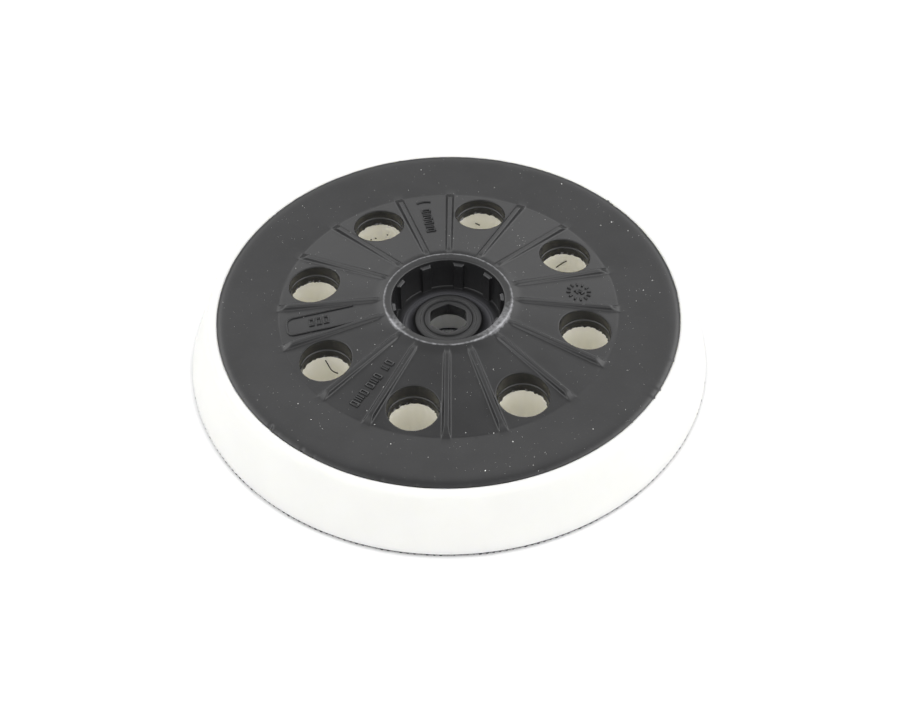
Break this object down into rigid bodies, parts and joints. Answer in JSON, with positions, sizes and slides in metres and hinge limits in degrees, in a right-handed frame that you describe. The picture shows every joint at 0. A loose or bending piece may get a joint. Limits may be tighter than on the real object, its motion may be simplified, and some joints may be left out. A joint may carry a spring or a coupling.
{
  "type": "sander backing pad",
  "caption": "Round backing pad of a random-orbital sander: ribbed plastic plate with drive socket and dust holes, on a foam cushion with a hook face.",
  "frame": {"origin": "centre of the hook face, which is the bottom of the pad", "axes": "+Z along the spindle axis, from the hook face towards the machine; the first dust hole is 30.4 degrees anticlockwise from +X"},
  "size_m": [0.1222, 0.1222, 0.0187],
  "materials": {
    "plate": "moulded glass-filled nylon, dark grey, fine spark texture, worn pale round the hub rim",
    "foam": "moulded white polyurethane foam, smooth skin, matt",
    "hook_cloth": "woven black hook tape, matt, cut edge"
  },
  "bodies": {
    "root": {"backing_plate": "plate", "foam_pad": "foam", "hook_cloth": "hook_cloth"}
  },
  "joints": []
}
